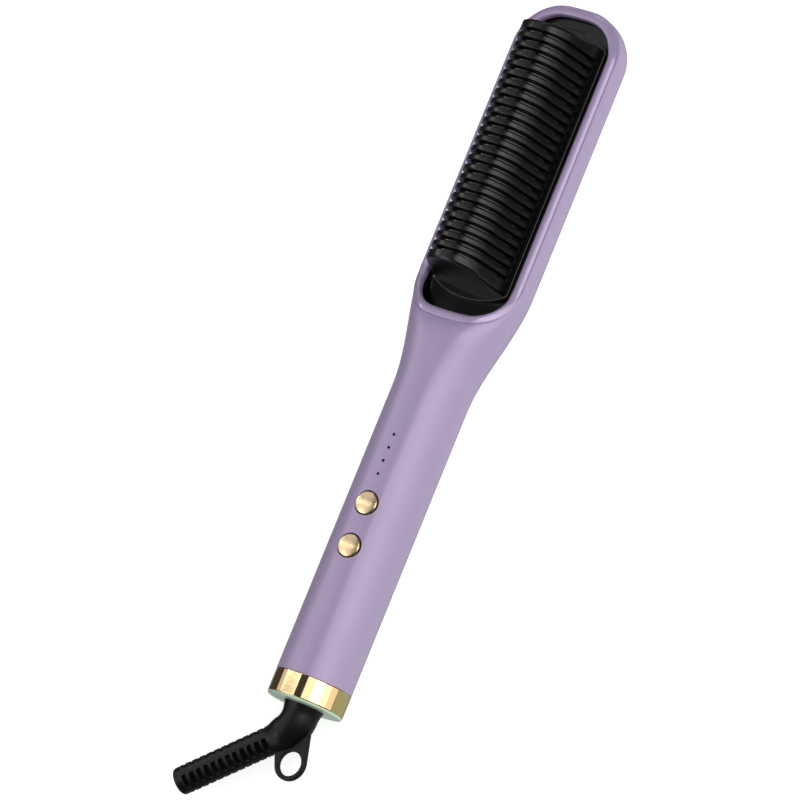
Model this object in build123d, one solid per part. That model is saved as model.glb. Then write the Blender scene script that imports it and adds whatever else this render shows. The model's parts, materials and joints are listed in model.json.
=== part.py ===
from build123d import *
from math import cos, radians, sin, sqrt, tan
import os

# Hot comb: a heated straightening comb in a moulded handle. Millimetres.
# While it is modelled, y runs along the handle from the end ring's lower edge to the head's tip,
# z = 0 is the handle's axis, +z is the comb side and +x is the user's right with the comb up.
# Each finished piece is then moved so that the origin is on the head's flat back, under the comb.

# Body
BODY_LENGTH = 292.0  # end ring's lower edge to the head's tip
HANDLE_R = 15.4
HEAD_HALF_WIDTH = 23.65
RIM_Z = 4.85  # height of the head's rim over the handle's axis
RIM_ROUND = 0.8
HEAD_LENGTH = 164.0  # from where the handle starts to widen to the head's tip
FLARE_LENGTH = 50.0
SLOPE_LEAD = 22.0  # from there to where the front starts to fall to the rim
SLOPE_LENGTH = 27.0
HEAD_CORNER = 19.0  # corner radius of the head's tip, seen from the front
TIP_BULGE = 2.0  # how far the tip's end bows out between its corners
WALL = 2.0
SECTION_FLAT = 0.05  # half the straight bit between two corners of a round section
LOFT_SECTIONS = 11
LEAST_ROUND = 0.4

# Opening, its lip and the tray in it
RIM_WIDTH = 4.1  # from the head's side to the opening
OPENING_LENGTH = 127.5
OPENING_CORNER = 12.5  # corner radius at the handle end
OPENING_BULGE = 1.6
LIP_WIDTH = 3.6
LIP_RISE = 1.5
LIP_ROUND = 0.7
SKIRT_DEPTH = 1.2
TRAY_WALL = 1.5
TRAY_FLOOR_Z = 2.5  # top of the tray's floor
TRAY_FLOOR = 1.8
TRAY_REVEAL = 0.2  # how far the tray's wall stands back from the lip's edge
SEAT_GAP = 0.15  # between moulded pieces that drop into each other

# Comb
COMB_OFFSET = 1.75  # from the opening's middle towards the tip
BAR_COUNT = 23
BAR_PITCH = 4.01
BAR_WIDTH = 2.2
CROWN_Z = 31.5
CROWN_R = 12.5
FLANK_TILT = 13.0  # degrees that the bars' sides lean in
END_BLOCK = 3.4  # length of the solid block past the last slot, at the crown
END_LEAN = 2.2  # how much further it reaches at the foot
BAR_DEPTH = 3.2
SLOT_FLOOR = 2.0  # from the base plate's top to the bottom of the slots
PLATE_THICKNESS = 2.2
PLATE_HALF_WIDTH = 17.2
PLATE_CORNER = 2.0
PLATE_BULGE = 4.6
PLATE_LENGTH = 114.6

# Heater
CORE_GAP = 0.3
FIN_WIDTH = 0.9
FIN_DROP = 2.0  # from the bars' crown to the fins' crown
INSULATOR_THICKNESS = 0.5
CHANNEL_WIDTH = 14.0
CHANNEL_RISE = 6.0  # from the core's underside to the channel
FILM_THICKNESS = 0.2
CAVITY_MARGIN = 2.2  # room past each end of the core, inside the end blocks
TILE_COUNT = 4
TILE_LENGTH = 22.0
TILE_WIDTH = 12.0
TILE_THICKNESS = 2.4
TILE_GAP = 1.0
STRIP_THICKNESS = 0.6
TAB_LENGTH = 2.0
TAB_WIDTH = 3.0
SENSOR_SPACING = 14.0
SENSOR_R = 1.5
FUSE_R = 1.8
SENSOR_LENGTH = 10.0
SENSOR_GROOVE_GAP = 0.2

# Buttons and lamps
BUTTON_PLACES = {"power": 61.6, "temp": 79.3}
BUTTON_HOLE_R = 5.05
CAP_R = 4.75
CAP_RISE = 0.75  # how far the cap's crown stands out of the handle
CAP_DOME = 0.6
CAP_FLANGE_R = 5.6
CAP_FLANGE = 0.7
CAP_STOP_GAP = 0.1
CAP_STEM_R = 1.6
BUTTON_TRAVEL = 0.5
LAMP_START = 91.4
LAMP_PITCH = 5.45
LAMP_COUNT = 4
LAMP_R = 0.6
LAMP_GAP = 0.05

# Control board
BOARD_Z = 3.0  # top face
BOARD_THICKNESS = 1.6
BOARD_WIDTH = 19.0
BOARD_START = 47.0
BOARD_LENGTH = 71.0
SWITCH_SIDE = 6.0
SWITCH_HEIGHT = 3.4
PLUNGER_R = 1.7
PLUNGER_RISE = 1.2
PLUNGER_DEPTH = 1.6
RUNNING_GAP = 0.05
MOVING_GAP = 0.3
FRAME_WALL = 1.2
FRAME_WIDTH = 14.0
FRAME_MARGIN = 7.6  # past the buttons' centres, along the handle
CHIP_HEIGHT = 0.8
CHIP_SIDE = 1.6
GUIDE_GAP = 0.4
GUIDE_WIDTH = 3.0
GUIDE_MARGIN = 2.0
CAPACITOR = (10.0, 13.0, 8.0)  # width, length, height
CAPACITOR_Y = 76.0
TRIAC = (10.0, 15.0, 4.5)
TRIAC_Y = 97.0

# Tail: end ring, cap and swivel
RING_HEIGHT = 9.3
RING_WALL = 1.2
RING_ROUND = 0.4
SPIGOT_GAP = 0.05  # between the ring and what it slides on
CAP_FACE = 0.9  # how far the end cap stands below the ring
CAP_EDGE_ROUND = 0.7
CAP_PLUG = 3.0
NECK_HOLE_GAP = 0.3
SOCKET_START = 3.3
SOCKET_LENGTH = 15.0
SOCKET_FLANGE = 2.0
SOCKET_R = 9.8
SOCKET_REAR_RIB = 9.0  # from the flange to the rib that steadies the socket
JOURNAL_R = 5.5
CLIP_GAP = 0.3
CLIP_THICKNESS = 0.8
CLIP_R = 7.2
CLIP_GROOVE = 0.8
SLIP_RING_R = 6.0
SLIP_RING_WIDTH = 2.0
SLIP_RING_PITCH = 5.0
SLIP_RING_START = 22.4
CORE_TOP = 33.0
CORE_BOTTOM = -3.5
CORE_BORE_R = 2.6
BRUSH_GAP = 0.1
BRUSH_THICKNESS = 0.5
BRUSH_WIDTH = 1.6
BRUSH_OUT = 8.6  # from the axis to a brush's inner leg
RIB_THICKNESS = 1.5
RIB_INNER_R = 11.0

# Cord guard and hanging loop
NECK_R = 7.9
NECK_TOP_Y = 2.8
ELBOW_R = 7.2
ELBOW_CORNER_Y = -10.25  # where the two axes of the elbow meet
ELBOW_BEND = 50.6  # degrees
ELBOW_RADIUS = 11.0
GUARD_AZIMUTH = 185.0  # direction that the guard leans in, degrees from +x towards +z
SLEEVE_LENGTH = 10.0  # from the elbow's corner to the ribbed length
SLEEVE_END_R = 5.6
RIBS_LENGTH = 42.4
TIP_R = 5.5
GUARD_BORE_R = 3.3
RIB_ROWS = 4
RIB_ROW_TURN = 54.0  # degrees between the bend's plane and the first row of pockets
POCKET_COUNT = 12
POCKET_PITCH = 3.28
POCKET_START = 0.6
POCKET_LENGTH = 1.8
POCKET_ACROSS = 5.0
POCKET_FLOOR_R = 3.9
TIP_ROUND = 1.2
LOOP_X = -4.3  # loop centre, along the direction that the guard leans in
LOOP_Y = -23.3
LOOP_HOLE_R = 4.9
LOOP_OUTER_R = 6.8
LOOP_THICKNESS = 2.0
WEB_ROOT_R = 0.8
WEB_NECK_DEPTH = 0.5  # how far the web's corners reach behind the neck's and sleeve's surface
WEB_NECK_RISE = 0.35  # from the elbow's corner back up to the web's root on the neck
WEB_SLEEVE_AT = 9.6  # along the sleeve from the elbow's corner

# Leads and screws
LEAD_R = 0.8
LEAD_BEND = 3.0
HEATER_LEAD_X = 5.5
HEATER_LEAD_Z = -3.0  # where they pass under the tray
LEAD_STRAIGHT = 4.0  # from the board's end to the first bend
LEAD_DIVE = 4.0  # from the second bend to the opening
LEAD_HOLE_GAP = 0.3
SCREW_R = 1.5
SCREW_HEAD_R = 2.7
SCREW_HEAD = 1.8
BOSS_R = 3.4
POST_R = 2.4
WELL_DEPTH = 3.0
SCREW_BITE = 7.0  # how far the handle's screws reach into the front shell
TRAY_BOSS_DROP = 3.2  # how far the tray's bosses reach below the parting plane
CORE_SCREW_BITE = 5.0
HANDLE_SCREW_MARGIN = 6.0  # past each end of the board
HEAD_SCREW_SPACING = 67.8
CORE_SCREW_SPACING = 80.0
BOARD_SCREW_INSET = 3.5  # from each end of the board
BOARD_SCREW_DEPTH = 6.0
STEP_GAP = 0.2

# What follows from them
FLARE_START = BODY_LENGTH - HEAD_LENGTH
FLARE_END = FLARE_START + FLARE_LENGTH
SLOPE_START = FLARE_START + SLOPE_LEAD
SLOPE_END = SLOPE_START + SLOPE_LENGTH
LOFT_STEP = FLARE_LENGTH / (LOFT_SECTIONS - 3)
LOFT_START = FLARE_START - LOFT_STEP
LOFT_END = FLARE_END + LOFT_STEP
OPENING_HALF_WIDTH = HEAD_HALF_WIDTH - RIM_WIDTH
OPENING_END = BODY_LENGTH - RIM_WIDTH
OPENING_START = OPENING_END - OPENING_LENGTH
COMB_MIDDLE = (OPENING_START + OPENING_END) / 2 + COMB_OFFSET
PLATE_Z = TRAY_FLOOR_Z + PLATE_THICKNESS
TRAY_BOTTOM_Z = TRAY_FLOOR_Z - TRAY_FLOOR
TRAY_GROW = TRAY_REVEAL + TRAY_WALL
SLOT_GAP = BAR_PITCH - BAR_WIDTH
SLOT_COUNT = BAR_COUNT + 1
COMB_LENGTH = BAR_PITCH * BAR_COUNT + SLOT_GAP + 2 * END_BLOCK
COMB_START = COMB_MIDDLE - COMB_LENGTH / 2
COMB_END = COMB_MIDDLE + COMB_LENGTH / 2
CORE_START = COMB_START + END_BLOCK - SLOT_GAP / 4
CORE_END = COMB_END - END_BLOCK + SLOT_GAP / 4
CORE_Z = TRAY_FLOOR_Z + INSULATOR_THICKNESS
CORE_INSET = BAR_DEPTH + CORE_GAP
STACK_HEIGHT = TILE_THICKNESS + 2 * STRIP_THICKNESS
CHANNEL_Z = CORE_Z + CHANNEL_RISE
STRIP_Z = CHANNEL_Z + FILM_THICKNESS
RING_INNER_R = HANDLE_R - RING_WALL
SPIGOT_R = RING_INNER_R - SPIGOT_GAP
INNER_R = HANDLE_R - WALL
BOARD_END = BOARD_START + BOARD_LENGTH
BOARD_LOW_Z = BOARD_Z - BOARD_THICKNESS
SWITCH_TOP_Z = BOARD_Z + SWITCH_HEIGHT
PLUNGER_TOP_Z = SWITCH_TOP_Z + PLUNGER_RISE
FLANGE_TOP_Z = sqrt(INNER_R ** 2 - CAP_FLANGE_R ** 2) - CAP_STOP_GAP
FRAME_TOP_Z = FLANGE_TOP_Z - CAP_FLANGE - BUTTON_TRAVEL - MOVING_GAP
SOCKET_END = SOCKET_START + SOCKET_LENGTH
CLIP_START = SOCKET_END + CLIP_GAP
LEAD_RISER_Y = CORE_START - CAVITY_MARGIN / 2
ELBOW_TANGENT = ELBOW_RADIUS * tan(radians(ELBOW_BEND / 2))
ELBOW_START_Y = ELBOW_CORNER_Y + ELBOW_TANGENT
ORIGIN = Location((0, -COMB_MIDDLE, HANDLE_R))


def ease(y, start, end):
    """Smooth step from 0 at start to 1 at end."""
    share = min(max((y - start) / (end - start), 0.0), 1.0)
    return share * share * (3 - 2 * share)


def across(y):
    """Plane square to the handle at y, with x across and z up."""
    return Plane((0, y, 0), x_dir=(1, 0, 0), z_dir=(0, -1, 0))


def along(sketch, low_y, high_y):
    """Cross-section carried along the handle from low_y to high_y."""
    return extrude(across(high_y) * sketch, high_y - low_y)


def upright(sketch, low_z, high_z):
    """Plan sketch carried up from low_z to high_z."""
    return extrude(Pos(0, 0, low_z) * sketch, high_z - low_z)


def post(x, y, radius, low_z, high_z):
    """Upright round post."""
    return upright(Pos(x, y) * Circle(radius), low_z, high_z)


def sleeve(outer, inner, low_y, high_y):
    """Round tube on the handle's axis."""
    return along(Circle(outer) - Circle(inner), low_y, high_y)


def block(low, high):
    """Box between two corners."""
    size = [b - a for a, b in zip(low, high)]
    return Pos(*low) * Box(*size, align=(Align.MIN, Align.MIN, Align.MIN))


def centred_block(width, length, low_z, high_z, x=0.0, y=0.0):
    """Box centred on x and y between two heights."""
    return block((x - width / 2, y - length / 2, low_z), (x + width / 2, y + length / 2, high_z))


def turned(points):
    """Solid turned about the y axis from the corners of its half-section."""
    return revolve(make_face(Polyline(*points, close=True)), Axis.Y)


def tube_along(points, radius, bend):
    """Round lead along straight runs joined by arcs."""
    path = FilletPolyline(*points, radius=bend)
    start = Plane(path @ 0, z_dir=path % 0)
    return sweep(start * Circle(radius), path)


# ---------------------------------------------------------------- body form

def body_section(y, inset):
    """Rounded section of the body at y, inset from its surface."""
    half = HANDLE_R + (HEAD_HALF_WIDTH - HANDLE_R) * ease(y, FLARE_START, FLARE_END) - inset
    top = HANDLE_R + (RIM_Z - HANDLE_R) * ease(y, SLOPE_START, SLOPE_END) - inset
    back = HANDLE_R - inset - SECTION_FLAT
    front = HANDLE_R + (RIM_ROUND - HANDLE_R) * ease(y, SLOPE_START, SLOPE_END) - inset
    front = min(max(front, LEAST_ROUND), back)
    bottom = inset - HANDLE_R
    arcs = [
        CenterArc((half - back, bottom + back), back, -90, 90),
        CenterArc((half - front, top - front), front, 0, 90),
        CenterArc((front - half, top - front), front, 90, 90),
        CenterArc((back - half, bottom + back), back, 180, 90),
    ]
    outline = []
    for arc, following in zip(arcs, arcs[1:] + arcs[:1]):
        outline += [arc, Line(arc @ 1, following @ 0)]
    return across(y) * make_face(outline)


def bowed_plan(half, low_y, high_y, low_bulge, high_bulge, low_corner, high_corner):
    """Plan of a long rounded opening or plate, with ends that bow out."""
    right_low, right_high = (half, low_y + low_bulge), (half, high_y - high_bulge)
    left_low, left_high = (-half, low_y + low_bulge), (-half, high_y - high_bulge)
    plan = make_face([
        ThreePointArc(left_low, (0, low_y), right_low),
        Line(right_low, right_high),
        ThreePointArc(right_high, (0, high_y), left_high),
        Line(left_high, left_low),
    ])
    plan = fillet(plan.vertices().group_by(Axis.Y)[-1], high_corner)
    return fillet(plan.vertices().group_by(Axis.Y)[0], low_corner)


def head_form(inset):
    """The head from the end of the loft to the tip, with round back edges."""
    low_y = LOFT_END - 2 * HEAD_CORNER
    plan = bowed_plan(HEAD_HALF_WIDTH, low_y, BODY_LENGTH, TIP_BULGE, TIP_BULGE, HEAD_CORNER, HEAD_CORNER)
    if inset:
        plan = offset(plan, -inset)
    plan -= Pos(0, low_y) * Rectangle(4 * HEAD_HALF_WIDTH, 4 * HEAD_CORNER)
    head = upright(plan, inset - HANDLE_R, RIM_Z - inset)
    back_edges = head.edges().group_by(Axis.Z)[0].filter_by(past_loft)
    head = fillet(back_edges, HANDLE_R - inset - SECTION_FLAT)
    rim_edges = head.edges().group_by(Axis.Z)[-1].filter_by(past_loft)
    return fillet(rim_edges, max(RIM_ROUND - inset, LEAST_ROUND))


def past_loft(edge):
    """Whether an edge lies beyond the head's joint with the loft."""
    return edge.center().Y > LOFT_END + LEAST_ROUND


def body_form(inset):
    """The whole outside of the body as one solid, inset from its surface."""
    sections = [body_section(LOFT_START + LOFT_STEP * i, inset) for i in range(LOFT_SECTIONS)]
    handle = extrude(sections[0], LOFT_START)
    return handle + loft(sections) + head_form(inset)


def opening_plan(grow):
    """Plan of the comb's opening, grown outwards."""
    plan = bowed_plan(
        OPENING_HALF_WIDTH, OPENING_START, OPENING_END, OPENING_BULGE, TIP_BULGE,
        OPENING_CORNER, HEAD_CORNER - RIM_WIDTH,
    )
    return offset(plan, grow) if grow else plan


# ---------------------------------------------------------------- shells

def handle_screws():
    """Centres of the screws that hold the shells together in the handle."""
    return [(0, y) for y in (BOARD_START - HANDLE_SCREW_MARGIN, BOARD_END + HANDLE_SCREW_MARGIN)]


def head_screws():
    """Centres of the screws that hold the back shell to the tray."""
    x = OPENING_HALF_WIDTH + TRAY_REVEAL - BOSS_R
    reach = HEAD_SCREW_SPACING / 2
    return [(side * x, y) for y in (COMB_MIDDLE - reach, COMB_MIDDLE + reach) for side in (-1, 1)]


def core_screws():
    """Centres of the screws that hold the heater core to the tray."""
    return [(0, COMB_MIDDLE + side * CORE_SCREW_SPACING / 2) for side in (-1, 1)]


def board_screw_places():
    """Centres of the board's screws along the handle."""
    return (BOARD_START + BOARD_SCREW_INSET, BOARD_END - BOARD_SCREW_INSET)


def back_height(x):
    """Height of the head's outside back at x."""
    beside = max(abs(x) - (HEAD_HALF_WIDTH - HANDLE_R), 0)
    return -sqrt(HANDLE_R ** 2 - beside ** 2)


def hollow_body(form):
    """Both shells in one piece, with the spigot that the end ring slides on."""
    body = form - sleeve(2 * HANDLE_R, SPIGOT_R, 0, RING_HEIGHT)
    body -= body_form(WALL)
    body -= along(Circle(2 * HANDLE_R), -WALL, SOCKET_START)
    front_rib = SOCKET_START + SOCKET_FLANGE
    body += sleeve(INNER_R + WALL / 4, RIB_INNER_R, front_rib, front_rib + RIB_THICKNESS)
    rear_rib = front_rib + SOCKET_REAR_RIB
    body += sleeve(INNER_R + WALL / 4, SOCKET_R + RUNNING_GAP, rear_rib, rear_rib + RIB_THICKNESS)
    return body


def front_shell(hollow, form):
    """Front half: screw bosses, opening, button and lamp holes."""
    reach = 2 * BODY_LENGTH
    shell = hollow & block((-reach, -reach, 0), (reach, reach, reach))
    for x, y in handle_screws():
        shell += post(x, y, BOSS_R, 0, 2 * HANDLE_R) & form
        shell -= post(x, y, SCREW_R, 0, SCREW_BITE + STEP_GAP)
    shell -= upright(opening_plan(TRAY_GROW + SEAT_GAP), TRAY_BOTTOM_Z - SEAT_GAP, 2 * HANDLE_R)
    for y in BUTTON_PLACES.values():
        shell -= post(0, y, BUTTON_HOLE_R, BOARD_Z, 2 * HANDLE_R)
    for y in lamp_places():
        shell -= post(0, y, LAMP_R + LAMP_GAP, BOARD_Z, 2 * HANDLE_R)
    return shell


def back_shell(hollow, form):
    """Back half: screw bosses with wells, board posts and the flat back."""
    reach = 2 * BODY_LENGTH
    shell = hollow & block((-reach, -reach, -reach), (reach, reach, 0))
    for x, y in handle_screws() + head_screws():
        top = 0 if x == 0 else -TRAY_BOSS_DROP
        shell += post(x, y, BOSS_R, -2 * HANDLE_R, top) & form
        shell -= post(x, y, SCREW_HEAD_R + STEP_GAP, -2 * HANDLE_R, back_height(x) + WELL_DEPTH)
        shell -= post(x, y, SCREW_R + STEP_GAP, -2 * HANDLE_R, 0)
    for y in board_screw_places():
        shell += post(0, y, POST_R, -2 * HANDLE_R, BOARD_LOW_Z) & form
        shell -= post(0, y, SCREW_R, BOARD_LOW_Z - BOARD_SCREW_DEPTH, BOARD_LOW_Z)
    return shell


def face_trim(form):
    """Raised rounded lip round the opening, with a skirt inside the head."""
    raised = body_form(-LIP_RISE) & upright(opening_plan(LIP_WIDTH) - opening_plan(0), 0, 2 * HANDLE_R)
    top_edges = [edge for edge in raised.edges() if min((edge @ 0).Z, (edge @ 1).Z) > LIP_RISE]
    lip = fillet(top_edges, LIP_ROUND) - form
    skirt = form & upright(opening_plan(TRAY_GROW) - opening_plan(0), 0, 2 * HANDLE_R)
    return lip + (skirt - body_form(SKIRT_DEPTH))


def recess_tray():
    """Black tray under the comb, with bosses for the back shell's screws."""
    inside = body_form(SKIRT_DEPTH)
    tray = inside & upright(opening_plan(TRAY_GROW), TRAY_BOTTOM_Z, 2 * HANDLE_R)
    tray -= upright(opening_plan(TRAY_REVEAL), TRAY_FLOOR_Z, 2 * HANDLE_R)
    for x, y in head_screws():
        tray += post(x, y, BOSS_R, -TRAY_BOSS_DROP, TRAY_BOTTOM_Z)
        tray -= post(x, y, SCREW_R, -TRAY_BOSS_DROP, TRAY_BOTTOM_Z)
    for x, y in core_screws():
        tray -= post(x, y, SCREW_R, 0, TRAY_FLOOR_Z)
    for side in (-1, 1):
        tray -= post(side * HEATER_LEAD_X, LEAD_RISER_Y, LEAD_R + LEAD_HOLE_GAP, 0, TRAY_FLOOR_Z)
    return tray


# ---------------------------------------------------------------- comb and heater

def arch(inset, low_z):
    """Cross-section of the comb's arch: leaning flanks under a round crown."""
    radius = CROWN_R - inset
    centre_z = CROWN_Z - CROWN_R
    tilt = radians(FLANK_TILT)
    shoulder_x = radius * cos(tilt)
    shoulder_z = centre_z + radius * sin(tilt)
    foot_x = shoulder_x + (shoulder_z - low_z) * tan(tilt)
    return make_face([
        Line((foot_x, low_z), (shoulder_x, shoulder_z)),
        ThreePointArc((shoulder_x, shoulder_z), (0, centre_z + radius), (-shoulder_x, shoulder_z)),
        Line((-shoulder_x, shoulder_z), (-foot_x, low_z)),
        Line((-foot_x, low_z), (foot_x, low_z)),
    ])


def slot_places():
    """Centres of the slots between the bars."""
    first = COMB_MIDDLE - BAR_PITCH * (SLOT_COUNT - 1) / 2
    return [first + BAR_PITCH * i for i in range(SLOT_COUNT)]


def comb_guard():
    """Comb: base plate, leaning end blocks and arched bars between open slots."""
    plate = bowed_plan(
        PLATE_HALF_WIDTH, COMB_MIDDLE - PLATE_LENGTH / 2, COMB_MIDDLE + PLATE_LENGTH / 2,
        PLATE_BULGE, PLATE_BULGE, PLATE_CORNER, PLATE_CORNER,
    )
    guard = along(arch(0, TRAY_FLOOR_Z), COMB_START - END_LEAN, COMB_END + END_LEAN)
    guard &= leaning_ends()
    guard += upright(plate, TRAY_FLOOR_Z, PLATE_Z)
    guard -= along(arch(BAR_DEPTH, TRAY_FLOOR_Z), CORE_START - CAVITY_MARGIN, CORE_END + CAVITY_MARGIN)
    for y in slot_places():
        guard -= centred_block(4 * CROWN_R, SLOT_GAP, PLATE_Z + SLOT_FLOOR, 2 * CROWN_Z, y=y)
    return guard


def leaning_ends():
    """Envelope whose two ends lean out towards the foot."""
    side = make_face(Polyline(
        (COMB_START - END_LEAN, TRAY_FLOOR_Z), (COMB_START, CROWN_Z), (COMB_START, 2 * CROWN_Z),
        (COMB_END, 2 * CROWN_Z), (COMB_END, CROWN_Z), (COMB_END + END_LEAN, TRAY_FLOOR_Z), close=True,
    ))
    return extrude(Plane.YZ * side, 2 * CROWN_R, both=True)


def heater_comb():
    """Aluminium core with a fin in every slot, a heater channel and sensor grooves."""
    core = along(arch(CORE_INSET, CORE_Z), CORE_START, CORE_END)
    for y in slot_places():
        core += along(arch(FIN_DROP, PLATE_Z + SLOT_FLOOR), y - FIN_WIDTH / 2, y + FIN_WIDTH / 2)
    core -= heater_stack_space(0, STACK_HEIGHT + 2 * FILM_THICKNESS)
    for x, radius in sensor_places():
        side = 2 * (radius + SENSOR_GROOVE_GAP)
        core -= centred_block(side, SENSOR_LENGTH + 2, CORE_Z, CORE_Z + side, x=x, y=COMB_MIDDLE)
    for x, y in core_screws():
        core -= post(x, y, SCREW_R, CORE_Z, CORE_Z + CORE_SCREW_BITE)
    return core


def heater_stack_space(inset, height):
    """Space of the heater channel, the whole length of the core."""
    low_z = CHANNEL_Z + inset
    width = CHANNEL_WIDTH - 2 * inset
    return block((-width / 2, CORE_START, low_z), (width / 2, CORE_END, low_z + height))


def insulating_film():
    """Film sleeve that lines the channel."""
    outside = heater_stack_space(0, STACK_HEIGHT + 2 * FILM_THICKNESS)
    return outside - heater_stack_space(FILM_THICKNESS, STACK_HEIGHT)


def ptc_heaters():
    """Ceramic heating tiles in a row."""
    pitch = TILE_LENGTH + TILE_GAP
    first = COMB_MIDDLE - pitch * (TILE_COUNT - 1) / 2
    low_z = STRIP_Z + STRIP_THICKNESS
    return [
        centred_block(TILE_WIDTH, TILE_LENGTH, low_z, low_z + TILE_THICKNESS, y=first + pitch * i)
        for i in range(TILE_COUNT)
    ]


def electrode_strips():
    """Contact strips under and over the tiles, each with a tab for its lead."""
    strips = []
    for side, low_z in ((-1, STRIP_Z), (1, STRIP_Z + STRIP_THICKNESS + TILE_THICKNESS)):
        high_z = low_z + STRIP_THICKNESS
        strip = block((-TILE_WIDTH / 2, CORE_START, low_z), (TILE_WIDTH / 2, CORE_END, high_z))
        tab_y = CORE_START - TAB_LENGTH / 2
        tab_x = side * (TILE_WIDTH / 2 - TAB_WIDTH / 2)
        strips.append(strip + centred_block(TAB_WIDTH, TAB_LENGTH, low_z, high_z, x=tab_x, y=tab_y))
    return strips


def core_insulator():
    """Mica sheet between the core and the tray's floor."""
    half = TILE_WIDTH
    sheet = block((-half, CORE_START, TRAY_FLOOR_Z), (half, CORE_END, CORE_Z))
    for x, y in core_screws():
        sheet -= post(x, y, SCREW_R, TRAY_FLOOR_Z, CORE_Z)
    return sheet


def sensor_places():
    """Place across and radius of the thermistor and the thermal fuse."""
    return ((-SENSOR_SPACING / 2, SENSOR_R), (SENSOR_SPACING / 2, FUSE_R))


def sensor(x, radius):
    """Round sensor lying in its groove on the insulator."""
    middle = COMB_MIDDLE
    return along(Pos(x, CORE_Z + radius) * Circle(radius), middle - SENSOR_LENGTH / 2, middle + SENSOR_LENGTH / 2)


# ---------------------------------------------------------------- controls

def lamp_places():
    """Places of the indicator lamps along the handle."""
    return [LAMP_START + LAMP_PITCH * i for i in range(LAMP_COUNT)]


def button_cap(y):
    """Domed cap with a retaining flange and a stem down to its switch."""
    crown_z = HANDLE_R + CAP_RISE
    dome_r = (CAP_R ** 2 + CAP_DOME ** 2) / (2 * CAP_DOME)
    dome = Pos(0, y, crown_z - dome_r) * Sphere(dome_r)
    cap = post(0, y, CAP_R, FLANGE_TOP_Z - CAP_FLANGE, crown_z) & dome
    cap += post(0, y, CAP_FLANGE_R, FLANGE_TOP_Z - CAP_FLANGE, FLANGE_TOP_Z)
    return cap + post(0, y, CAP_STEM_R, PLUNGER_TOP_Z, FLANGE_TOP_Z)


def switch_plunger(y):
    """Plunger that the cap's stem presses into the switch."""
    return post(0, y, PLUNGER_R, SWITCH_TOP_Z - PLUNGER_DEPTH, PLUNGER_TOP_Z)


def button_switches():
    """Switch housings, each with a well for its plunger."""
    well = PLUNGER_DEPTH + BUTTON_TRAVEL + MOVING_GAP
    housings = []
    for y in BUTTON_PLACES.values():
        housing = centred_block(SWITCH_SIDE, SWITCH_SIDE, BOARD_Z, SWITCH_TOP_Z, y=y)
        housings.append(housing - post(0, y, PLUNGER_R + RUNNING_GAP, SWITCH_TOP_Z - well, SWITCH_TOP_Z))
    return housings


def button_frame():
    """Bridge over the switches that keeps the stems upright."""
    places = list(BUTTON_PLACES.values())
    middle = (places[0] + places[-1]) / 2
    length = places[-1] - places[0] + 2 * FRAME_MARGIN
    frame = centred_block(FRAME_WIDTH, length, BOARD_Z, FRAME_TOP_Z, y=middle)
    frame -= centred_block(FRAME_WIDTH - 2 * FRAME_WALL, length, BOARD_Z, FRAME_TOP_Z - FRAME_WALL, y=middle)
    for y in places:
        frame -= post(0, y, CAP_STEM_R + MOVING_GAP, BOARD_Z, FRAME_TOP_Z)
    return frame


def light_guide():
    """Clear blade with a pin up to each lamp hole."""
    places = lamp_places()
    middle = (places[0] + places[-1]) / 2
    length = places[-1] - places[0] + 2 * GUIDE_MARGIN
    ceiling = sqrt(INNER_R ** 2 - (GUIDE_WIDTH / 2) ** 2)
    guide = centred_block(GUIDE_WIDTH, length, BOARD_Z + CHIP_HEIGHT + GUIDE_GAP, ceiling, y=middle)
    for y in places:
        guide += post(0, y, LAMP_R, ceiling, HANDLE_R)
    return guide


def lamp_chips():
    """Lamps on the board, one under each pin."""
    return [centred_block(CHIP_SIDE, CHIP_SIDE, BOARD_Z, BOARD_Z + CHIP_HEIGHT, y=y) for y in lamp_places()]


def control_board():
    """Circuit board across the handle."""
    board = block((-BOARD_WIDTH / 2, BOARD_START, BOARD_LOW_Z), (BOARD_WIDTH / 2, BOARD_END, BOARD_Z))
    for y in board_screw_places():
        board -= post(0, y, SCREW_R, BOARD_LOW_Z, BOARD_Z)
    return board


def under_board(size, y):
    """Component hanging under the board."""
    width, length, height = size
    return centred_block(width, length, BOARD_LOW_Z - height, BOARD_LOW_Z, y=y)


# ---------------------------------------------------------------- tail and swivel

def end_ring():
    """Plated ring over the handle's end."""
    ring = sleeve(HANDLE_R, RING_INNER_R, 0, RING_HEIGHT)
    outer = ring.edges().filter_by(GeomType.CIRCLE).filter_by(lambda e: e.radius > RING_INNER_R + SEAT_GAP)
    return fillet(outer, RING_ROUND)


def end_cap():
    """End face with the neck's hole, plugged into the ring."""
    face = sleeve(HANDLE_R - SEAT_GAP, NECK_R + NECK_HOLE_GAP, -CAP_FACE, 0)
    rim = face.edges().group_by(Axis.Y)[0].filter_by(lambda e: e.radius > NECK_R + 1)
    face = fillet(rim, CAP_EDGE_ROUND)
    return face + sleeve(SPIGOT_R, NECK_R + NECK_HOLE_GAP, 0, CAP_PLUG)


def swivel_socket():
    """Bearing that the swivel core turns in, held by the shells' ribs."""
    bore = JOURNAL_R + RUNNING_GAP
    flange = sleeve(INNER_R - SEAT_GAP, bore, SOCKET_START, SOCKET_START + SOCKET_FLANGE)
    return flange + sleeve(SOCKET_R, bore, SOCKET_START, SOCKET_END)


def swivel_core():
    """Hollow journal with a groove for its clip."""
    core = sleeve(JOURNAL_R, CORE_BORE_R, CORE_BOTTOM, CORE_TOP)
    groove = sleeve(2 * JOURNAL_R, JOURNAL_R - CLIP_GROOVE, CLIP_START, CLIP_START + CLIP_THICKNESS)
    return core - groove


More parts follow.
